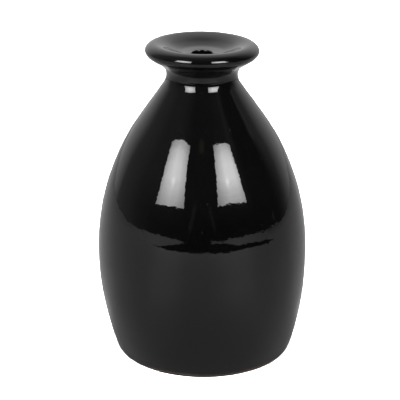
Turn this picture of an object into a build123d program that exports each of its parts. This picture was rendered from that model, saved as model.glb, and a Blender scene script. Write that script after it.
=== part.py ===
from build123d import *
import math
import os

# A tall black-glazed clay pot: a wide body that narrows to a slim neck and a dished mouth with a small hole.
# It is made from clay sections that are luted together with slip: a base slab, a lower and an upper body, a neck
# collar and a mouth dish. Coils of clay back the seams inside, and one coat of glaze covers the outside.
# Millimetres, +Z up. The origin is the centre of the foot, on the surface that the pot stands on.

# ---- the outside of the bare clay, as a half section from the foot up to the dish ----
# Each bend is a radius and the heading that it ends on. A heading is in degrees from straight out of the axis,
# so 90 is straight up and 180 is straight in.
FOOT_RADIUS = 83.0
FOOT_EDGE_BEND = (1.5, 70.5)
BODY_BENDS = [(210.0, 77.0), (320.0, 93.0), (220.0, 125.0)]
CONE_LENGTH = 42.4
NECK_BEND = (14.0, 32.0)
LIP_UNDERSIDE_LENGTH = 10.5
LIP_BENDS = [(9.0, 67.0), (4.0, 126.0), (10.0, 193.0), (43.0, 208.5)]
DISH_BENDS = [(42.0, 198.0), (18.0, 182.0)]

# ---- thicknesses ----
WALL = 6.5
GLAZE = 0.4
SLIP = 0.8
BASE_THICKNESS = 10.0

# ---- the hole in the dish, as bare clay ----
HOLE_RADIUS = 9.6
HOLE_BOTTOM = 284.1
HOLE_EDGE_RADIUS = 2.0

# ---- the turned hollow under the base, which leaves a standing ring ----
FOOT_RING_WIDTH = 9.0
HOLLOW_DEPTH = 2.0
HOLLOW_SLOPE = 1.5

# The glaze stops here, so that it can't stick to the kiln shelf.
GLAZE_LINE = 2.5

# ---- the seams ----
GIRTH_HEIGHT = 95.0
TONGUE_HEIGHT = 2.5
TONGUE_HALF_WIDTH = 1.8
NECK_SEAM_UP_CONE = 28.0

# ---- the coils over the seams: their half thickness and half width ----
FOOT_COIL_RADIUS = 9.0
GIRTH_COIL = (2.6, 10.0)
NECK_COIL = (2.2, 8.0)

# Patches that cut through the wall reach this far from the axis, and this high.
BEYOND = 130.0
ABOVE = 320.0


def pointing(heading):
    """The unit vector along a heading."""
    return Vector(math.cos(math.radians(heading)), math.sin(math.radians(heading)))


def bend(pen, radius, end_heading):
    """Draw an arc from the pen's point and heading round to a new heading, and return the pen there."""
    point, heading = pen
    arc = JernArc(point, pointing(heading), radius, end_heading - heading)
    return arc.end_of_arc, end_heading


def run_on(pen, length):
    """Draw a straight line on from the pen, and return the pen at its end."""
    point, heading = pen
    end = point + pointing(heading) * length
    Line(point, end)
    return end, heading


def body_pen(offset):
    """The pen where the foot's edge meets the body, on the surface moved outward by offset."""
    radius, heading = FOOT_EDGE_BEND
    return Vector(FOOT_RADIUS, radius) + pointing(heading - 90) * (radius + offset), heading


def draw_cone_base(offset):
    """Draw the body up to the straight cone under the neck."""
    pen = body_pen(offset)
    for radius, heading in BODY_BENDS:
        pen = bend(pen, radius + offset, heading)
    return pen


def draw_neck(pen, offset):
    """Draw the cone and the neck's hollow bend."""
    radius, heading = NECK_BEND
    return bend(run_on(pen, CONE_LENGTH), radius - offset, heading)


def solid_section(offset):
    """Half the pot as if it were solid, with its surface moved outward by offset, and its hole."""
    with BuildSketch() as section:
        with BuildLine():
            foot = (Vector(FOOT_RADIUS, -offset), 0)
            bend(foot, FOOT_EDGE_BEND[0] + offset, FOOT_EDGE_BEND[1])
            pen = draw_neck(draw_cone_base(offset), offset)
            pen = run_on(pen, LIP_UNDERSIDE_LENGTH)
            for radius, heading in LIP_BENDS:
                pen = bend(pen, radius + offset, heading)
            for radius, heading in DISH_BENDS:
                pen = bend(pen, radius - offset, heading)
            middle, _ = run_on(pen, pen[0].X / -pointing(pen[1]).X)
            Polyline(middle, (0, -offset), foot[0])
        make_face()
        with Locations((0, HOLE_BOTTOM)):
            Rectangle(HOLE_RADIUS - offset, ABOVE - HOLE_BOTTOM, align=Align.MIN, mode=Mode.SUBTRACT)
        hole_edge = section.vertices().group_by(Axis.X)[1].sort_by(Axis.Y)[-1]
        fillet(hole_edge, HOLE_EDGE_RADIUS + offset)
    return section.sketch


def patch(lower, upper):
    """The patch between two lines that both run outward from the axis."""
    with BuildSketch() as face:
        with BuildLine():
            Polyline(*lower, *reversed(upper), close=True)
        make_face()
    return face.sketch


# ---- the clay's wall as one section, and the hollow inside it ----
with BuildSketch() as cavity:
    with BuildLine():
        inner_neck, _ = draw_neck(draw_cone_base(-WALL), -WALL)
        inner_foot, _ = body_pen(-WALL)
        Polyline(inner_neck, (HOLE_RADIUS, HOLE_BOTTOM), (0, HOLE_BOTTOM), (0, 0), inner_foot)
    make_face()
    with Locations((0, BASE_THICKNESS)):
        Rectangle(BEYOND, ABOVE, align=Align.MIN, mode=Mode.INTERSECT)

with BuildSketch() as wall:
    add(solid_section(0))
    add(cavity.sketch, mode=Mode.SUBTRACT)
    with BuildLine():
        hollow_radius = FOOT_RADIUS - FOOT_RING_WIDTH
        hollow_top = hollow_radius - HOLLOW_SLOPE
        Polyline((0, 0), (hollow_radius, 0), (hollow_top, HOLLOW_DEPTH), (0, HOLLOW_DEPTH), close=True)
    make_face(mode=Mode.SUBTRACT)

# ---- the seams: each is the line that the slip lies on, and the step across the slip to the clay above it ----
foot_seam = [Vector(0, BASE_THICKNESS), Vector(BEYOND, BASE_THICKNESS)]
foot_step = Vector(0, SLIP)

# The girth seam is a tongue in a groove, which keeps the two halves of the body in line.
inner_girth = cavity.sketch.bounding_box().max.X
tongue = inner_girth + WALL / 2
girth_seam = [
    Vector(0, GIRTH_HEIGHT),
    Vector(tongue - TONGUE_HALF_WIDTH, GIRTH_HEIGHT),
    Vector(tongue, GIRTH_HEIGHT + TONGUE_HEIGHT),
    Vector(tongue + TONGUE_HALF_WIDTH, GIRTH_HEIGHT),
    Vector(BEYOND, GIRTH_HEIGHT),
]
girth_step = Vector(0, SLIP)

# The neck and mouth seams cross the wall squarely, part of the way up the cone and at the end of the neck's bend.
with BuildLine():
    cone_pen = draw_cone_base(0)
    neck_pen = draw_neck(cone_pen, 0)

cone_start, cone_heading = cone_pen
cone_outward = pointing(cone_heading - 90)
neck_crossing = cone_start + pointing(cone_heading) * NECK_SEAM_UP_CONE
neck_inner = neck_crossing - cone_outward * WALL
neck_void = neck_inner - cone_outward * WALL
neck_seam = [Vector(0, neck_void.Y), neck_void, neck_crossing + cone_outward * WALL]
neck_step = pointing(cone_heading) * SLIP

neck_end, neck_heading = neck_pen
mouth_outward = pointing(neck_heading - 90)
mouth_step = pointing(neck_heading) * SLIP
mouth_inner = neck_end - mouth_outward * WALL - mouth_step
mouth_seam = [Vector(0, HOLE_BOTTOM - WALL), mouth_inner, neck_end + mouth_outward * WALL - mouth_step]

floor_line = [Vector(0, -WALL), Vector(BEYOND, -WALL)]
sky_line = [Vector(0, ABOVE), Vector(BEYOND, ABOVE)]


def above(seam, step):
    """The seam's line on the far side of its slip."""
    return [point + step for point in seam]


def wall_between(lower, upper):
    """The part of the wall's section between two lines."""
    with BuildSketch() as section:
        add(wall.sketch)
        add(patch(lower, upper), mode=Mode.INTERSECT)
    return section.sketch


# ---- the clay sections, from the bottom up ----
with BuildPart() as base_slab:
    with BuildSketch(Plane.XZ):
        add(wall_between(floor_line, foot_seam))
    revolve(axis=Axis.Z)

with BuildPart() as lower_body:
    with BuildSketch(Plane.XZ):
        add(wall_between(above(foot_seam, foot_step), girth_seam))
    revolve(axis=Axis.Z)

with BuildPart() as upper_body:
    with BuildSketch(Plane.XZ):
        add(wall_between(above(girth_seam, girth_step), neck_seam))
    revolve(axis=Axis.Z)

with BuildPart() as neck_collar:
    with BuildSketch(Plane.XZ):
        add(wall_between(above(neck_seam, neck_step), mouth_seam))
    revolve(axis=Axis.Z)

with BuildPart() as mouth_dish:
    with BuildSketch(Plane.XZ):
        add(wall_between(above(mouth_seam, mouth_step), sky_line))
    revolve(axis=Axis.Z)

# ---- the slip in each seam ----
with BuildPart() as foot_seam_slip:
    with BuildSketch(Plane.XZ):
        add(wall_between(foot_seam, above(foot_seam, foot_step)))
    revolve(axis=Axis.Z)

with BuildPart() as girth_seam_slip:
    with BuildSketch(Plane.XZ):
        add(wall_between(girth_seam, above(girth_seam, girth_step)))
    revolve(axis=Axis.Z)

with BuildPart() as neck_seam_slip:
    with BuildSketch(Plane.XZ):
        add(wall_between(neck_seam, above(neck_seam, neck_step)))
    revolve(axis=Axis.Z)

with BuildPart() as mouth_seam_slip:
    with BuildSketch(Plane.XZ):
        add(wall_between(mouth_seam, above(mouth_seam, mouth_step)))
    revolve(axis=Axis.Z)

# ---- the coils pressed over the seams that a hand can reach inside ----
inner_corner = cavity.vertices().group_by(Axis.Y)[0].sort_by(Axis.X)[-1]
with BuildPart() as foot_seam_coil:
    with BuildSketch(Plane.XZ):
        with Locations((inner_corner.X, inner_corner.Y)):
            Circle(FOOT_COIL_RADIUS)
        add(cavity.sketch, mode=Mode.INTERSECT)
    revolve(axis=Axis.Z)

with BuildPart() as girth_seam_coil:
    with BuildSketch(Plane.XZ):
        with Locations((inner_girth, GIRTH_HEIGHT)):
            Ellipse(*GIRTH_COIL)
        add(cavity.sketch, mode=Mode.INTERSECT)
    revolve(axis=Axis.Z)

with BuildPart() as neck_seam_coil:
    with BuildSketch(Plane.XZ):
        with Locations((neck_inner.X, neck_inner.Y)):
            Ellipse(*NECK_COIL, rotation=cone_heading - 90)
        add(cavity.sketch, mode=Mode.INTERSECT)
    revolve(axis=Axis.Z)

# ---- the glaze: one skin over the outside, the lip, the dish and the hole ----
with BuildPart() as outer_glaze:
    with BuildSketch(Plane.XZ):
        add(solid_section(GLAZE))
        add(solid_section(0), mode=Mode.SUBTRACT)
        with Locations((0, GLAZE_LINE)):
            Rectangle(BEYOND, ABOVE, align=Align.MIN, mode=Mode.INTERSECT)
    revolve(axis=Axis.Z)

base_slab.part.label = "base_slab"
lower_body.part.label = "lower_body"
upper_body.part.label = "upper_body"
neck_collar.part.label = "neck_collar"
mouth_dish.part.label = "mouth_dish"
foot_seam_slip.part.label = "foot_seam_slip"
girth_seam_slip.part.label = "girth_seam_slip"
neck_seam_slip.part.label = "neck_seam_slip"
mouth_seam_slip.part.label = "mouth_seam_slip"
foot_seam_coil.part.label = "foot_seam_coil"
girth_seam_coil.part.label = "girth_seam_coil"
neck_seam_coil.part.label = "neck_seam_coil"
outer_glaze.part.label = "outer_glaze"

os.makedirs("parts", exist_ok=True)
export_step(base_slab.part, "parts/base_slab.step")
export_step(lower_body.part, "parts/lower_body.step")
export_step(upper_body.part, "parts/upper_body.step")
export_step(neck_collar.part, "parts/neck_collar.step")
export_step(mouth_dish.part, "parts/mouth_dish.step")
export_step(foot_seam_slip.part, "parts/foot_seam_slip.step")
export_step(girth_seam_slip.part, "parts/girth_seam_slip.step")
export_step(neck_seam_slip.part, "parts/neck_seam_slip.step")
export_step(mouth_seam_slip.part, "parts/mouth_seam_slip.step")
export_step(foot_seam_coil.part, "parts/foot_seam_coil.step")
export_step(girth_seam_coil.part, "parts/girth_seam_coil.step")
export_step(neck_seam_coil.part, "parts/neck_seam_coil.step")
export_step(outer_glaze.part, "parts/outer_glaze.step")
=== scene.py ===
import math

import bpy
import numpy as np
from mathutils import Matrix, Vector


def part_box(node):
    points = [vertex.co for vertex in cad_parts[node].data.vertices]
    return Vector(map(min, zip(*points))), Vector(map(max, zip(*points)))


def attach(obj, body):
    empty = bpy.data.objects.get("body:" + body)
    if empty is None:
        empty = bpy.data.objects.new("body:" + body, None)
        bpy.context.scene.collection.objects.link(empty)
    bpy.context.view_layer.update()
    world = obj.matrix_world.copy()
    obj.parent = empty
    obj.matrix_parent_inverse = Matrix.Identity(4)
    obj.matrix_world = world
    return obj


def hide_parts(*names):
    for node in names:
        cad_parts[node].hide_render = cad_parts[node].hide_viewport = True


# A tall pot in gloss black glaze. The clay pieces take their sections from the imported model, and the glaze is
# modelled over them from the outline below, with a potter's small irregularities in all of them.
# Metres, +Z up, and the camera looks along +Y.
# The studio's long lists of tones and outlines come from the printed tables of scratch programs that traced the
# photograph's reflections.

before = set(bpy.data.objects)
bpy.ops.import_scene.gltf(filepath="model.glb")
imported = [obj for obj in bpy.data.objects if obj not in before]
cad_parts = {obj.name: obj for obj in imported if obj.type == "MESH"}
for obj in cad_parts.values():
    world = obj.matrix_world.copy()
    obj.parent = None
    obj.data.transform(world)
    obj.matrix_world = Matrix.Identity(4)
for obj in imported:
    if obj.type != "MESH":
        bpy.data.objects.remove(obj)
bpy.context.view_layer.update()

# ---- the outside of the bare clay, from the foot up to the hole ----
# A bend is a radius and the heading that it ends on. A heading is in degrees from straight out of the axis.
FOOT_RADIUS = 0.083
FOOT_BENDS = [(0.0015, 70.5)]
BODY_BENDS = [(0.210, 77.0), (0.320, 93.0), (0.220, 125.0)]
CONE_LENGTH = 0.0416
NECK_BENDS = [(0.0185, 104.0), (0.0128, 32.0)]
LIP_UNDERSIDE_LENGTH = 0.0114
LIP_BENDS = [(0.009, 67.0), (0.004, 126.0), (0.010, 193.0), (0.043, 208.5)]
DISH_BENDS = [(0.042, 198.0), (0.018, 182.0)]
HOLE_RADIUS = 0.0096
HOLE_EDGE = (0.0003, 270.0)
# The wall of the hole ends this far above the lowest clay of the mouth.
HOLE_BOTTOM_RISE = 0.0022
HOLE_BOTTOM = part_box("mouth_dish")[0].z + HOLE_BOTTOM_RISE

# ---- the glaze ----
GLAZE = 0.0004
GLAZE_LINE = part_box("outer_glaze")[0].z
# Its edge at the foot wanders up and down in waves: the size of each, how many go round, and where it starts.
FOOT_EDGE = 0.00035
FOOT_EDGE_WAVES = [(1.0, 3, 0.4), (0.6, 7, 2.0), (0.35, 17, 0.0)]
FOOT_EDGE_FADE = 0.006

# ---- what the hand left ----
# Most of these were set from the differences between the render's outline and the photograph's.
# The foot sits to one side.
FOOT_SHIFT = 0.00145
FOOT_SHIFT_TOP = 0.100
# The rim leans to one side, nods forward and sits low, all from the neck up.
RIM_FROM = 0.235
RIM_FULL = 0.275
RIM_LEAN = math.radians(0.5)
RIM_NOD = math.radians(0.3)
RIM_DROP = 0.0003
# The middle of the dish has sunk.
DISH_SINK = 0.0010
DISH_SINK_RADIUS = 0.026
DISH_SINK_FADE = 0.008
# The pot isn't quite round. A wave is its size, how many go round, where it starts and its twist per metre of
# height.
OVAL = 0.0012
OVAL_WAVES = [(1.0, 2, 0.7, 9), (0.6, 3, 2.1, -14)]
# Throwing marks. A wave is its radians per metre of height, how many go round, and how far it wanders.
RIPPLE = 0.000004
RIPPLE_WAVES = [(520, 0, 1.3), (310, 5, 0.0), (130, 9, 0.0)]
# From the shoulder up the pot is wider all round, and its body is wider from side to side.
SHOULDER_FROM = 0.172
SHOULDER_FULL = 0.215
SHOULDER_WIDENS = 0.0006
SIDE_SWELL = 0.0024
SWELL_BOTTOM = 0.030
SWELL_TOP = 0.195
SWELL_FADE = 0.035
# Nearer the axis than this, what widens the pot is shared out as if it were here.
LEAST_WIDENED_RADIUS = 0.03

# ---- mesh fineness ----
AROUND = 320
RING_SPACING = 0.0011
CLAY_AROUND = 144
CLAY_SPACING = 0.004
# The hidden inner face of the glaze keeps one ring in so many.
INNER_RINGS_KEPT = 4
# Points closer than this are one point.
SAME_PLACE = 1e-6


# ======================================================================================= the outline

def pointing(heading):
    """The unit vector (outward, up) along a heading."""
    return np.array([math.cos(math.radians(heading)), math.sin(math.radians(heading))])


class Pen:
    """Walks an outline and keeps its points."""

    def __init__(self, radius, height, offset, spacing):
        self.point = np.array([radius, height - offset])
        self.heading = 0.0
        self.offset = offset
        self.spacing = spacing
        self.points = [self.point]

    def keep(self, point):
        self.point = point
        self.points.append(point)

    def run(self, length):
        start = self.point
        count = max(1, round(length / self.spacing))
        for k in range(1, count + 1):
            self.keep(start + pointing(self.heading) * length * k / count)

    def bends(self, bends):
        for radius, end in bends:
            side = math.copysign(1, end - self.heading)
            reach = side * (radius + side * self.offset)
            centre = self.point + reach * pointing(self.heading + 90)
            start = self.heading
            count = max(4, round(abs(reach * math.radians(end - start)) / self.spacing))
            for k in range(1, count + 1):
                heading = start + (end - start) * k / count
                self.keep(centre - reach * pointing(heading + 90))
            self.heading = end


def outline(offset, spacing):
    """Points (radius, height) from the foot to the bottom of the hole, moved outward by offset."""
    pen = Pen(FOOT_RADIUS, 0, offset, spacing)
    pen.bends(FOOT_BENDS + BODY_BENDS)
    pen.run(CONE_LENGTH)
    pen.bends(NECK_BENDS)
    pen.run(LIP_UNDERSIDE_LENGTH)
    pen.bends(LIP_BENDS + DISH_BENDS)
    slope = pointing(pen.heading)
    outward = pointing(pen.heading - 90)
    clay_radius = pen.point[0] - offset * outward[0]
    pen.run((clay_radius - HOLE_RADIUS - HOLE_EDGE[0] * (1 + slope[1])) / -slope[0])
    pen.bends([HOLE_EDGE])
    pen.run(pen.point[1] - HOLE_BOTTOM)
    return np.array(pen.points)


# ======================================================================================= the hand

def smooth(x):
    """0 below 0, 1 above 1 and an S between them."""
    x = np.clip(x, 0, 1)
    return x * x * (3 - 2 * x)


def hand_made(co):
    """Points of a perfectly turned pot, moved to where the potter's hands left them."""
    x, y, z = co.T
    angle = np.arctan2(y, x)
    radius = np.hypot(x, y)
    oval = OVAL * sum(size * np.cos(count * angle + start + twist * z)
                      for size, count, start, twist in OVAL_WAVES)
    ripple = RIPPLE * sum(np.sin(rise * z + count * angle + wander * np.sin(2 * angle))
                          for rise, count, wander in RIPPLE_WAVES)
    wider = SHOULDER_WIDENS * smooth((z - SHOULDER_FROM) / (SHOULDER_FULL - SHOULDER_FROM))
    on_body = smooth((z - SWELL_BOTTOM) / SWELL_FADE) * smooth((SWELL_TOP - z) / SWELL_FADE)
    swell = SIDE_SWELL * np.cos(angle) ** 2 * on_body
    grown = 1 + oval + swell + (ripple + wider) / np.maximum(radius, LEAST_WIDENED_RADIUS)
    shift = FOOT_SHIFT * smooth(1 - z / FOOT_SHIFT_TOP)
    on_rim = smooth((z - RIM_FROM) / (RIM_FULL - RIM_FROM))
    lower = x * math.tan(RIM_LEAN) - y * math.tan(RIM_NOD) + RIM_DROP
    in_dish = smooth((z - RIM_FULL) / DISH_SINK_FADE) * smooth(1 - radius / DISH_SINK_RADIUS)
    return np.stack([x * grown + shift, y * grown, z - on_rim * lower - DISH_SINK * in_dish], axis=1)


def foot_edge(angle):
    """How far above its mean height the glaze stops, all round the foot."""
    return FOOT_EDGE * sum(size * np.sin(count * angle + start) for size, count, start in FOOT_EDGE_WAVES)


# ======================================================================================= meshes

def mesh_object(name, co, faces, material):
    """A smooth-shaded mesh that rides on the pot."""
    mesh = bpy.data.meshes.new(name)
    mesh.from_pydata(co.tolist(), [], faces)
    mesh.validate()
    mesh.shade_smooth()
    mesh.materials.append(material)
    made = bpy.data.objects.new(name, mesh)
    bpy.context.scene.collection.objects.link(made)
    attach(made, "root")
    return made


def turned(name, section, around, material):
    """A closed section of (radius, height) points, turned round the axis. Points on the axis stay single."""
    angle = np.arange(around) * 2 * math.pi / around
    rows, co = [], []
    count = 0
    for radius, height in section:
        if radius < SAME_PLACE:
            rows.append([count] * around)
            co.append([(0.0, 0.0, height)])
            count += 1
        else:
            rows.append(list(range(count, count + around)))
            co.append(np.stack([radius * np.cos(angle), radius * np.sin(angle),
                                np.full(around, height)], axis=1))
            count += around
    faces = []
    for lower, upper in zip(rows, rows[1:] + rows[:1]):
        for j in range(around):
            k = (j + 1) % around
            corners = [lower[j], lower[k], upper[k], upper[j]]
            face = [c for i, c in enumerate(corners) if c != corners[i - 1]]
            if len(face) > 2:
                faces.append(face)
    return mesh_object(name, hand_made(np.concatenate(co)), faces, material)


def section_of(node):
    """The half section of a turned CAD node: its points (radius, height) in order, up its outer side first.
    A disc's flat faces have no points within their rims, so its section is closed along the axis."""
    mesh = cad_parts[node].data
    co = np.array([v.co for v in mesh.vertices])
    in_half = (np.abs(co[:, 1]) < SAME_PLACE) & (co[:, 0] > -SAME_PLACE)
    key = {i: tuple(np.round(co[i, [0, 2]], 7).tolist()) for i in np.flatnonzero(in_half)}
    joined = {}
    for edge in mesh.edges:
        a, b = (key.get(v) for v in edge.vertices)
        if a is not None and b is not None and a != b:
            joined.setdefault(a, set()).add(b)
            joined.setdefault(b, set()).add(a)
    ends = [p for p in joined if len(joined[p]) == 1]
    loop = [min(ends, key=lambda p: p[1]) if ends else min(joined)]
    while onward := [p for p in joined[loop[-1]] if p not in loop]:
        loop.append(min(onward))
    if ends:
        loop = [(0.0, loop[0][1]), *loop, (0.0, loop[-1][1])]
    radius, height = np.array(loop).T
    twice_area = np.sum(radius * np.roll(height, -1) - np.roll(radius, -1) * height)
    return np.array(loop if twice_area > 0 else loop[::-1])


def divided(section, spacing):
    """The same loop with no edge longer than spacing, other than along the axis."""
    made = []
    for a, b in zip(section, np.roll(section, -1, axis=0)):
        on_axis = a[0] < SAME_PLACE and b[0] < SAME_PLACE
        count = 1 if on_axis else max(1, math.ceil(np.linalg.norm(b - a) / spacing))
        made += [a + (b - a) * k / count for k in range(count)]
    return np.array(made)


def glaze_skin(material):
    """The glaze as one closed skin over the clay, with a soft uneven edge at the foot."""
    outer = outline(GLAZE, RING_SPACING)
    inner = outline(0.0, RING_SPACING)
    outer = outer[int(np.argmax(outer[:, 1] > GLAZE_LINE)):]
    inner = inner[int(np.argmax(inner[:, 1] > GLAZE_LINE)):]
    angle = np.arange(AROUND) * 2 * math.pi / AROUND
    rows = []
    for section in (outer, inner[:0:-INNER_RINGS_KEPT], inner[:1]):
        for radius, height in section:
            lift = foot_edge(angle) * smooth(1 - (height - GLAZE_LINE) / FOOT_EDGE_FADE)
            rows.append(np.stack([radius * np.cos(angle), radius * np.sin(angle), height + lift], axis=1))
    count = len(rows)
    faces = []
    for i in range(count):
        here, above = i * AROUND, (i + 1) % count * AROUND
        for j in range(AROUND):
            k = (j + 1) % AROUND
            faces.append((here + j, here + k, above + k, above + j))
    return mesh_object("glaze_skin", hand_made(np.concatenate(rows)), faces, material)


# ======================================================================================= wiring

class Shader:
    """Short ways to wire a material or the world."""

    def __init__(self, tree):
        self.tree = tree
        self.tree.nodes.clear()

    def add(self, kind, **settings):
        node = self.tree.nodes.new(kind)
        for key, value in settings.items():
            setattr(node, key, value)
        return node

    def join(self, source, target):
        self.tree.links.new(source, target)

    def show(self, closure, kind="ShaderNodeOutputMaterial"):
        """Ends the tree in this surface or background."""
        self.join(closure, self.add(kind).inputs["Surface"])

    def coords(self, kind):
        return self.add("ShaderNodeTexCoord").outputs[kind]

    def camera_ray(self):
        return self.add("ShaderNodeLightPath").outputs["Is Camera Ray"]

    def noise(self, coords, scale, detail=2.0, roughness=0.5):
        node = self.add("ShaderNodeTexNoise")
        node.inputs["Scale"].default_value = scale
        node.inputs["Detail"].default_value = detail
        node.inputs["Roughness"].default_value = roughness
        self.join(coords, node.inputs["Vector"])
        return node.outputs["Fac"]

    def cells(self, coords, scale):
        """How far it is to the nearest of many scattered points."""
        node = self.add("ShaderNodeTexVoronoi")
        node.inputs["Scale"].default_value = scale
        self.join(coords, node.inputs["Vector"])
        return node.outputs["Distance"]

    def ramp(self, value, stops):
        node = self.add("ShaderNodeValToRGB")
        while len(node.color_ramp.elements) < len(stops):
            node.color_ramp.elements.new(0.5)
        for element, (place, colour) in zip(node.color_ramp.elements, stops):
            element.position = place
            element.color = (*colour, 1) if isinstance(colour, tuple) else (colour, colour, colour, 1)
        self.join(value, node.inputs["Fac"])
        return node.outputs["Color"]

    def span(self, value, low, high, to_low=0.0, to_high=1.0):
        """A smooth step from to_low at low to to_high at high."""
        node = self.add("ShaderNodeMapRange", interpolation_type="SMOOTHSTEP")
        for name, number in (("From Min", low), ("From Max", high), ("To Min", to_low), ("To Max", to_high)):
            node.inputs[name].default_value = number
        self.join(value, node.inputs["Value"])
        return node.outputs["Result"]

    def maths(self, operation, a, b=None):
        node = self.add("ShaderNodeMath", operation=operation)
        for socket, value in zip(node.inputs, (a, b)):
            if isinstance(value, (int, float)):
                socket.default_value = value
            elif value is not None:
                self.join(value, socket)
        return node.outputs[0]

    def product(self, *values):
        made = values[0]
        for value in values[1:]:
            made = self.maths("MULTIPLY", made, value)
        return made

    def mix(self, factor, a, b, how="MIX"):
        node = self.add("ShaderNodeMix", data_type="RGBA", blend_type=how)
        for socket, value in zip((node.inputs[0], node.inputs[6], node.inputs[7]), (factor, a, b)):
            if isinstance(value, tuple):
                socket.default_value = (*value, 1)
            elif isinstance(value, (int, float)):
                socket.default_value = value
            else:
                self.join(value, socket)
        return node.outputs[2]

    def split(self, vector):
        node = self.add("ShaderNodeSeparateXYZ")
        self.join(vector, node.inputs[0])
        return node.outputs

    def distance(self, vector, point):
        node = self.add("ShaderNodeVectorMath", operation="DISTANCE")
        self.join(vector, node.inputs[0])
        node.inputs[1].default_value = point
        return node.outputs["Value"]

    def turn(self, place):
        """Which way a place lies from the middle: 0.5 is towards the camera, 0.75 towards +X."""
        azimuth = self.maths("ARCTAN2", place["X"], self.product(place["Y"], -1.0))
        return self.maths("ADD", self.product(azimuth, 0.5 / math.pi), 0.5)

    def ring(self, turn, stops):
        """A ramp all the way round, told in degrees of azimuth."""
        return self.ramp(turn, [((azimuth + 180) / 360, level) for azimuth, level in stops])

    def glow(self, strength):
        """A surface that gives light of its own and reflects none."""
        emission = self.add("ShaderNodeEmission")
        self.join(strength, emission.inputs["Strength"])
        return emission.outputs[0]

    def bump(self, height, distance, strength, under=None):
        node = self.add("ShaderNodeBump")
        node.inputs["Distance"].default_value = distance
        node.inputs["Strength"].default_value = strength
        self.join(height, node.inputs["Height"])
        if under is not None:
            self.join(under, node.inputs["Normal"])
        return node.outputs["Normal"]


def new_material(name):
    """A new material and the Shader that wires it."""
    material = bpy.data.materials.new(name)
    material.use_nodes = True
    return material, Shader(material.node_tree)


# ======================================================================================= glaze and clay

GLAZE_COLOURS = [(0.3, (0.0009, 0.0009, 0.0011)), (0.7, (0.0017, 0.0015, 0.0014))]
GLAZE_SMEARS = [(0.42, 0.022), (0.75, 0.050)]
GLAZE_IOR = 1.5
# Near the foot the glaze thins to brown, from the first height down to the second, give or take the third.
THIN_FROM = 0.0042
THIN_FULLY = 0.0014
THIN_WANDERS = 0.0022
THIN_COLOUR = (0.030, 0.012, 0.008)
THIN_ROUGHNESS = (0.16, 0.16, 0.16)
PIT_COLOUR = (0.012, 0.010, 0.009)
PIT_ROUGHNESS = (0.3, 0.3, 0.3)

CLAY_IOR = 1.45
CLAY_ROUGHNESS = [(0.3, 0.72), (0.7, 0.90)]
TURNING_PITCH = 0.0024
# How much paler the grit is than the palest clay round it.
GRIT_PALER = 1.8


def flecks(shader, coords, scale, size, patches, where):
    """Small round marks, only where a coarser noise is high."""
    marks = shader.span(shader.cells(coords, scale), *size)
    return shader.product(marks, shader.span(shader.noise(coords, patches), *where))


def black_glaze():
    """Thick gloss black glaze: a faint orange peel, soft clouds of tone, pinholes, a few larger specks, and
    brown where it thins out."""
    material, shader = new_material("black_glaze")
    coords = shader.coords("Object")
    surface = shader.add("ShaderNodeBsdfPrincipled")
    surface.inputs["IOR"].default_value = GLAZE_IOR
    pinholes = flecks(shader, coords, scale=240, size=(0.10, 0.05), patches=90, where=(0.62, 0.70))
    specks = flecks(shader, coords, scale=95, size=(0.09, 0.05), patches=34, where=(0.60, 0.66))
    pit = shader.maths("MAXIMUM", pinholes, specks)
    wander = shader.product(shader.noise(coords, 160, detail=3), THIN_WANDERS)
    thin = shader.span(shader.maths("SUBTRACT", shader.split(coords)["Z"], wander), THIN_FROM, THIN_FULLY)
    clouds = shader.ramp(shader.noise(coords, 38, detail=4), GLAZE_COLOURS)
    colour = shader.mix(pit, shader.mix(thin, clouds, THIN_COLOUR), PIT_COLOUR)
    shader.join(colour, surface.inputs["Base Color"])
    smears = shader.ramp(shader.noise(coords, 26, detail=6, roughness=0.65), GLAZE_SMEARS)
    roughness = shader.mix(pit, shader.mix(thin, smears, THIN_ROUGHNESS), PIT_ROUGHNESS)
    shader.join(roughness, surface.inputs["Roughness"])
    peel = shader.bump(shader.noise(coords, 260, detail=1.5), distance=0.00006, strength=0.5)
    swell = shader.bump(shader.noise(coords, 60, detail=0.0), distance=0.00009, strength=0.4, under=peel)
    dents = shader.bump(shader.maths("SUBTRACT", 1.0, pit), distance=0.0001, strength=0.6, under=swell)
    shader.join(dents, surface.inputs["Normal"])
    shader.show(surface.outputs[0])
    return material


def bare_clay(name, dark, light, grit, rings):
    """Unglazed fired clay: mottled, gritty and marked by the turning tool."""
    material, shader = new_material(name)
    coords = shader.coords("Object")
    surface = shader.add("ShaderNodeBsdfPrincipled")
    surface.inputs["IOR"].default_value = CLAY_IOR
    mottle = shader.noise(coords, 55, detail=6, roughness=0.6)
    speck = shader.span(shader.noise(coords, 900, detail=2), 0.60, 0.72)
    pale = tuple(min(1.0, GRIT_PALER * c) for c in light)
    colour = shader.mix(shader.product(speck, 0.7), shader.ramp(mottle, [(0.3, dark), (0.72, light)]), pale)
    shader.join(colour, surface.inputs["Base Color"])
    shader.join(shader.ramp(mottle, CLAY_ROUGHNESS), surface.inputs["Roughness"])
    grain = shader.bump(shader.noise(coords, 700, detail=5, roughness=0.7), distance=0.0004, strength=grit)
    place = shader.split(coords)
    squares = [shader.product(place[axis], place[axis]) for axis in ("X", "Y")]
    across = shader.maths("SQRT", shader.maths("ADD", *squares))
    along = shader.maths("ADD", across, place["Z"])
    ridges = shader.maths("SINE", shader.product(along, 2 * math.pi / TURNING_PITCH))
    shader.join(shader.bump(ridges, distance=0.0003, strength=rings, under=grain), surface.inputs["Normal"])
    shader.show(surface.outputs[0])
    return material


# ======================================================================================= the pot

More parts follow.
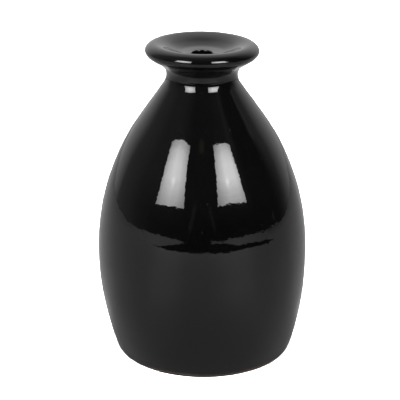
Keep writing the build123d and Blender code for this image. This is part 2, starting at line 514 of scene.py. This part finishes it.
clay = bare_clay("clay", (0.030, 0.020, 0.017), (0.075, 0.050, 0.040), grit=0.55, rings=0.22)
slip = bare_clay("slip", (0.045, 0.032, 0.027), (0.085, 0.062, 0.052), grit=0.25, rings=0.0)
coil_clay = bare_clay("coil_clay", (0.036, 0.024, 0.020), (0.080, 0.054, 0.044), grit=0.65, rings=0.10)

glaze_piece = glaze_skin(black_glaze())
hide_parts("outer_glaze")

CLAY_PIECES = {
    "base_slab": (clay, "clay"),
    "lower_body": (clay, "clay"),
    "upper_body": (clay, "clay"),
    "neck_collar": (clay, "clay"),
    "mouth_dish": (clay, "clay"),
    "foot_seam_slip": (slip, "slip"),
    "girth_seam_slip": (slip, "slip"),
    "neck_seam_slip": (slip, "slip"),
    "mouth_seam_slip": (slip, "slip"),
    "foot_seam_coil": (coil_clay, "coil_clay"),
    "girth_seam_coil": (coil_clay, "coil_clay"),
    "neck_seam_coil": (coil_clay, "coil_clay"),
}
for node, (material, slot_name) in CLAY_PIECES.items():
    piece = turned("thrown_" + node, divided(section_of(node), CLAY_SPACING), CLAY_AROUND, material)
    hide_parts(node)


# ======================================================================================= camera

TARGET = Vector((-0.00195, 0, 0.1460))
CAMERA_DISTANCE = 1.2734
CAMERA_ELEVATION = math.radians(20.357)
CAMERA_LENS = 119.87
CAMERA_SENSOR = 36

camera_data = bpy.data.cameras.new("camera")
camera_data.lens = CAMERA_LENS
camera_data.sensor_width = CAMERA_SENSOR
camera = bpy.data.objects.new("camera", camera_data)
back = Vector((0, -math.cos(CAMERA_ELEVATION), math.sin(CAMERA_ELEVATION)))
camera.location = TARGET + back * CAMERA_DISTANCE
camera.rotation_euler = (-back).to_track_quat("-Z", "Y").to_euler()
bpy.context.scene.collection.objects.link(camera)
bpy.context.scene.camera = camera


# ======================================================================================= studio

def direction(azimuth, elevation):
    """A unit vector. Azimuth 0 is towards the camera and turns towards +X."""
    a, e = math.radians(azimuth), math.radians(elevation)
    return Vector((math.sin(a) * math.cos(e), -math.cos(a) * math.cos(e), math.sin(e)))


def stage_object(name, co, faces, material, uv=None):
    """A mesh that belongs to the studio and not to the pot."""
    mesh = bpy.data.meshes.new(name)
    mesh.from_pydata([tuple(p) for p in co], [], faces)
    mesh.materials.append(material)
    if uv is not None:
        layer = mesh.uv_layers.new(name="UVMap")
        for loop in mesh.loops:
            layer.data[loop.index].uv = uv[loop.vertex_index]
    made = bpy.data.objects.new(name, mesh)
    bpy.context.scene.collection.objects.link(made)
    return made


# ---- the softboxes ----
STUDIO_CENTRE = Vector((0, 0, 0.15))
SOFTBOX_DISTANCE = 3.5
SOFTBOX_CELLS = 12
# How bright the cloth is from its bottom to its top.
SOFTBOX_UPWARD = [(0.0, 0.50), (0.12, 0.68), (0.25, 0.84), (0.36, 0.98), (0.6, 0.97), (0.8, 0.84),
                  (1.0, 0.50)]
# The lamp shows through the cloth as a brighter spot.
LAMP_RADIUS = 0.11
LAMP_BRIGHTER = 1.25


def softbox_material(name, across, lamp, strength):
    """Lit cloth. Its tone is told from its left to its right, and its lamp by where it is on the cloth."""
    material, shader = new_material(name)
    coords = shader.coords("UV")
    place = shader.split(coords)
    cloth = shader.product(shader.ramp(place["Y"], SOFTBOX_UPWARD), shader.ramp(place["X"], across))
    spot = shader.span(shader.distance(coords, (*lamp, 0)), LAMP_RADIUS, 0.0, 1.0, LAMP_BRIGHTER)
    shader.show(shader.glow(shader.product(cloth, spot, strength)))
    return material


def softbox(name, corners, pulled, bulge, material):
    """A lit panel, told by where the pot sees its corners: top left, top right, bottom right, bottom left.
    Half way up its left and right sides are pulled in, and its top bulges. Both are told as fractions of its
    width and height."""
    top_left, top_right, bottom_right, bottom_left = (
        STUDIO_CENTRE + direction(a, e) * SOFTBOX_DISTANCE for a, e in corners)
    co, uv, faces = [], [], []
    for i in range(SOFTBOX_CELLS + 1):
        for j in range(SOFTBOX_CELLS + 1):
            u, v = j / SOFTBOX_CELLS, i / SOFTBOX_CELLS
            drawn_in = 4 * v * (1 - v) * (pulled[0] * (1 - u) - pulled[1] * u)
            bottom = bottom_left.lerp(bottom_right, u + drawn_in)
            top = top_left.lerp(top_right, u + drawn_in)
            co.append(bottom.lerp(top, v * (1 + 4 * u * (1 - u) * bulge)))
            uv.append((u, v))
    for i in range(SOFTBOX_CELLS):
        for j in range(SOFTBOX_CELLS):
            a = i * (SOFTBOX_CELLS + 1) + j
            faces.append((a, a + 1, a + SOFTBOX_CELLS + 2, a + SOFTBOX_CELLS + 1))
    made = stage_object(name, co, faces, material, uv)
    made.visible_camera = False


LEFT_CORNERS = [(-60.0, 42.4), (-23.1, 46.8), (-21.5, 15.0), (-56.7, 12.0)]
LEFT_ACROSS = [(0.0, 0.48), (0.15, 0.74), (0.45, 1.0), (0.7, 0.90), (1.0, 0.54)]
RIGHT_CORNERS = [(21.6, 47.1), (52.4, 42.2), (54.4, 13.2), (19.0, 16.6)]
RIGHT_ACROSS = [(0.0, 0.50), (0.15, 0.68), (0.43, 1.0), (0.62, 0.98), (0.82, 0.93), (1.0, 0.66)]
softbox("softbox_left", LEFT_CORNERS, pulled=(0.085, 0.012), bulge=0.04,
        material=softbox_material("softbox_left", LEFT_ACROSS, lamp=(0.50, 0.30), strength=14.8))
softbox("softbox_right", RIGHT_CORNERS, pulled=(0.0, 0.06), bulge=0.01,
        material=softbox_material("softbox_right", RIGHT_ACROSS, lamp=(0.44, 0.30), strength=15.2))

# ---- the table top ----
# How pale it is in each direction from the pot. This is painted light and shade: paler under the softboxes and
# behind, darker in front and to the sides.
FLOOR_PAINTED_LIGHT = [(-180, 0.68), (-155, 0.665), (-135, 0.615), (-125, 0.55), (-115, 0.50), (-105, 0.445),
              (-95, 0.41), (-80, 0.377), (-65, 0.37), (-55, 0.38), (-45, 0.465), (-35, 0.485), (-25, 0.445),
              (-15, 0.37), (-5, 0.355), (5, 0.357), (15, 0.40), (25, 0.46), (35, 0.495), (45, 0.47),
              (55, 0.387), (65, 0.35), (80, 0.347), (95, 0.355), (105, 0.412), (115, 0.455), (135, 0.545),
              (145, 0.66), (160, 0.69), (180, 0.68)]
# Close by, that gives way to a tone that only changes from front to back: painted shade, darker in front of the
# pot than behind it.
BESIDE_POT = (0.32, 0.09)
BESIDE_FRONT_TO_BACK = (-0.03, 0.11)
BESIDE_PAINTED_SHADE = (0.335, 0.68)
# Right behind the pot it is paler: painted light where the pot's own shadow falls.
BEHIND_REACH = (0.185, 0.115)
BEHIND_FROM = (0.0, 0.06)
BEHIND_PAINTED_LIGHT = 0.45
# Far to the right, abreast of the pot, the table top is darker: painted shade.
FAR_RIGHT = (1.0, 2.4)
FAR_RIGHT_PAINTED_SHADE = 0.5
FAR_RIGHT_ABREAST = (1.2, 0.4)
# The camera sees it burnt out.
BURNT_OUT = (3.0, 3.0, 3.0)

# Where its edge lies is told by where the middle of the pot sees it: azimuth and elevation.
EYE_HEIGHT = 0.133
FLOOR_EDGE = [(-180, -3.1), (-150, -3.1), (-120, -3.2), (-100, -3.1), (-80, -2.6), (-74, -2.6), (-68, -1.6),
              (-62, -1.35), (-53, -1.4), (0, -2.0), (53, -1.5), (58, -1.8), (64, -2.2), (70, -2.9),
              (76, -3.1), (82, -3.3), (88, -3.7), (94, -4.4), (100, -4.4), (106, -4.0), (120, -3.3),
              (150, -3.1)]
# The radius of the opening under the pot.
FLOOR_OPENING = 0.0805


def floor_material():
    """A pale table top. The camera sees it burnt out to white, and all other rays see the tones above, which
    are painted light and shade. From below it can't be seen."""
    material, shader = new_material("floor")
    coords = shader.coords("Object")
    place = shader.split(coords)
    away = shader.distance(coords, (0, 0, 0))
    beside = shader.span(away, *BESIDE_POT)
    # The tone is painted light and shade: the ring by direction, and near the pot a tone darker in front than
    # behind.
    tone = shader.mix(beside, shader.ring(shader.turn(place), FLOOR_PAINTED_LIGHT),
                      shader.span(place["Y"], *BESIDE_FRONT_TO_BACK, *BESIDE_PAINTED_SHADE))
    # Painted shade on the table top far to the right.
    abreast = shader.span(shader.maths("ABSOLUTE", place["Y"]), *FAR_RIGHT_ABREAST)
    painted_shade_right = shader.product(shader.span(place["X"], *FAR_RIGHT, 0.0, FAR_RIGHT_PAINTED_SHADE), abreast)
    # Painted light on the table top right behind the pot.
    painted_light_behind = shader.product(shader.span(away, *BEHIND_REACH),
                              shader.span(place["Y"], *BEHIND_FROM, 0.0, BEHIND_PAINTED_LIGHT))
    # The painted shade and the painted light, as one factor on the tone.
    painted_light_and_shade = shader.maths("ADD", shader.maths("SUBTRACT", 1.0, painted_shade_right), painted_light_behind)
    mottle = shader.span(shader.noise(coords, 9, detail=3), 0.3, 0.7, 0.98, 1.02)
    top = shader.add("ShaderNodeBsdfDiffuse")
    shader.join(shader.mix(shader.camera_ray(), shader.product(tone, mottle, painted_light_and_shade), BURNT_OUT),
                top.inputs["Color"])
    either = shader.add("ShaderNodeMixShader")
    below = shader.add("ShaderNodeNewGeometry").outputs["Backfacing"]
    clear = shader.add("ShaderNodeBsdfTransparent")
    for source, socket in zip((below, top.outputs[0], clear.outputs[0]), either.inputs):
        shader.join(source, socket)
    shader.show(either.outputs[0])
    return material


def on_floor(edge, height):
    """The points at that height that the pot sees in these directions."""
    places = []
    for azimuth, elevation in edge:
        sight = direction(azimuth, elevation)
        reach = EYE_HEIGHT / -sight.z
        places.append((sight.x * reach, sight.y * reach, height))
    return places


def floor_round_foot():
    """The table top, open under the middle of the pot so that light reaches its base."""
    edge = on_floor(FLOOR_EDGE, 0.0)
    opening = []
    for x, y, z in edge:
        drawn_in = FLOOR_OPENING / math.hypot(x, y)
        opening.append((x * drawn_in + FOOT_SHIFT, y * drawn_in, z))
    count = len(edge)
    faces = [(i, (i + 1) % count, count + (i + 1) % count, count + i) for i in range(count)]
    stage_object("floor", edge + opening, faces, floor_material())


floor_round_foot()

# ---- past the table's near edge: glowing cards, a painted reflection of a dark carpet between two pale boards ----
CARD_HEIGHT = 0.001
CARPET_NEAR = [(-53, -6.15), (-50, -6.35), (-44, -6.5), (-38, -6.9), (-26, -7.0), (-14, -6.95), (-6, -6.95),
               (0, -6.8), (7, -6.75), (16, -6.85), (28, -7.15), (34, -7.15), (40, -6.95), (46, -7.0),
               (52, -7.25), (58, -7.6), (64, -8.05), (70, -8.5), (76, -8.55), (80, -8.5)]
CARPET_RIGHT = [(79, -8.2), (76, -7.8), (70, -6.75), (64, -6.35), (58, -5.8), (52, -5.3), (46, -4.85),
                (40, -4.55), (35, -4.45), (28, -3.1), (22, -1.95), (16, -1.85), (9, -1.4)]
CARPET_LEFT = [(-16, -1.6), (-20, -1.8), (-26, -2.7), (-32, -3.7), (-38, -4.2), (-44, -5.65)]
RIGHT_BOARD_FAR = [(9, -0.9), (16, -1.35), (22, -1.35), (28, -0.95), (34, -1.1), (40, -1.35), (46, -1.4),
                   (52, -1.45), (58, -1.8), (64, -2.2), (70, -2.9), (73, -3.0), (75, -6.0), (73, -7.25)]
LEFT_BOARD_FAR = [(-64, -6.0), (-68, -3.0), (-67, -1.6), (-62, -1.35), (-56, -1.35), (-50, -1.1), (-44, -1.3),
                  (-35, -1.1), (-26, -1.3), (-20, -1.55)]
# How brightly the carpet and the boards glow in each direction: painted light in place of their lighting.
CARPET_GLOW = [(-180, 0.02), (180, 0.02)]
BOARD_GLOW = [(-68, 0.50), (-60, 0.61), (-50, 0.67), (-38, 0.63), (20, 0.60), (38, 0.65), (48, 0.60),
              (60, 0.50), (72, 0.42)]


def card_material(name, tone):
    """Light of its own, as bright as the tone says in each direction from the pot."""
    material, shader = new_material(name)
    place = shader.split(shader.coords("Object"))
    shader.show(shader.glow(shader.ring(shader.turn(place), tone)))
    return material


def floor_card(name, edge, tone):
    """A flat glowing card just over the floor, a painted reflection. Only reflections see it."""
    faces = [list(range(len(edge)))]
    card = stage_object(name, on_floor(edge, CARD_HEIGHT), faces, card_material(name, tone))
    card.visible_camera = False
    card.visible_diffuse = False
    card.visible_shadow = False


floor_card("carpet_glow", CARPET_NEAR + CARPET_RIGHT + CARPET_LEFT, CARPET_GLOW)
floor_card("board_right_glow", CARPET_RIGHT[:0:-1] + RIGHT_BOARD_FAR[::-1], BOARD_GLOW)
floor_card("board_left_glow", CARPET_LEFT + [CARPET_NEAR[0]] + LEFT_BOARD_FAR, BOARD_GLOW)

# ---- the room as the pot sees it ----
# How bright it is all round, near the floor and half way up, and overhead.
ROOM_LOW = [(-180, 0.74), (-150, 0.82), (-138, 0.71), (-128, 0.61), (-119, 0.39), (-116, 0.23), (-95, 0.20),
            (-80, 0.12), (-60, 0.06), (-30, 0.03), (0, 0.02), (60, 0.03), (95, 0.04), (103, 0.07),
            (112, 0.17), (120, 0.38), (132, 0.60), (145, 0.66), (160, 0.62), (180, 0.74)]
ROOM_MIDDLE = [(-180, 1.0), (-150, 0.95), (-130, 0.70), (-119, 0.39), (-112, 0.235), (-95, 0.22), (-78, 0.16),
               (-60, 0.17), (-40, 0.13), (-20, 0.06), (20, 0.06), (40, 0.09), (56, 0.11), (64, 0.05),
               (95, 0.04), (106, 0.20), (114, 0.22), (122, 0.44), (135, 0.69), (150, 0.92), (180, 1.0)]
ROOM_TOP = (0.20, 0.20, 0.20)
LOW_TO_MIDDLE = (2, 24)
MIDDLE_TO_TOP = (48, 95)
SURROUND = (1.3, 1.3, 1.3)

# Faint pale things in the dark of the room, such as lamp stands: azimuth, elevation, half width, half height,
# how far it leans in azimuth for each degree of elevation, and radiance.
ROOM_THINGS = [(-1.0, 47.5, 7.0, 5.0, 0.0, (0.11, 0.13, 0.06)),
               (-11.0, 11.0, 2.8, 10.0, 0.37, (0.08, 0.08, 0.08)),
               (11.5, 10.0, 2.6, 9.0, -0.45, (0.06, 0.06, 0.06)),
               (87.0, -0.3, 1.6, 2.5, 0.0, (0.14, 0.10, 0.11)),
               (101.0, 35.0, 4.5, 12.0, 0.0, (0.11, 0.11, 0.11)),
               (57.0, 44.0, 9.0, 9.0, 0.0, (0.04, 0.045, 0.055))]
# How much of its half width and half height a thing is at its full brightness.
THING_CORE = (0.3, 0.4)


def studio_world():
    """A white surround to the camera. To everything else it is a dark room in front and pale walls behind."""
    world = bpy.data.worlds.new("studio")
    bpy.context.scene.world = world
    world.use_nodes = True
    shader = Shader(world.node_tree)
    place = shader.split(shader.coords("Generated"))
    turn = shader.turn(place)
    azimuth = shader.product(shader.maths("SUBTRACT", turn, 0.5), 360.0)
    elevation = shader.product(shader.maths("ARCSINE", place["Z"]), 180 / math.pi)
    walls = shader.mix(shader.span(elevation, *LOW_TO_MIDDLE), shader.ring(turn, ROOM_LOW),
                       shader.ring(turn, ROOM_MIDDLE))
    room = shader.mix(shader.span(elevation, *MIDDLE_TO_TOP), walls, ROOM_TOP)
    for at, height, half_width, half_height, lean, radiance in ROOM_THINGS:
        rise = shader.maths("SUBTRACT", elevation, height)
        middle = shader.maths("ADD", shader.product(rise, lean), at)
        beside = shader.maths("ABSOLUTE", shader.maths("SUBTRACT", azimuth, middle))
        above = shader.maths("ABSOLUTE", rise)
        here = shader.product(shader.span(beside, half_width, THING_CORE[0] * half_width),
                              shader.span(above, half_height, THING_CORE[1] * half_height))
        room = shader.mix(here, room, radiance, how="ADD")
    background = shader.add("ShaderNodeBackground")
    shader.join(shader.mix(shader.camera_ray(), room, SURROUND), background.inputs["Color"])
    shader.show(background.outputs[0], "ShaderNodeOutputWorld")


studio_world()
bpy.context.scene.view_settings.view_transform = "Standard"
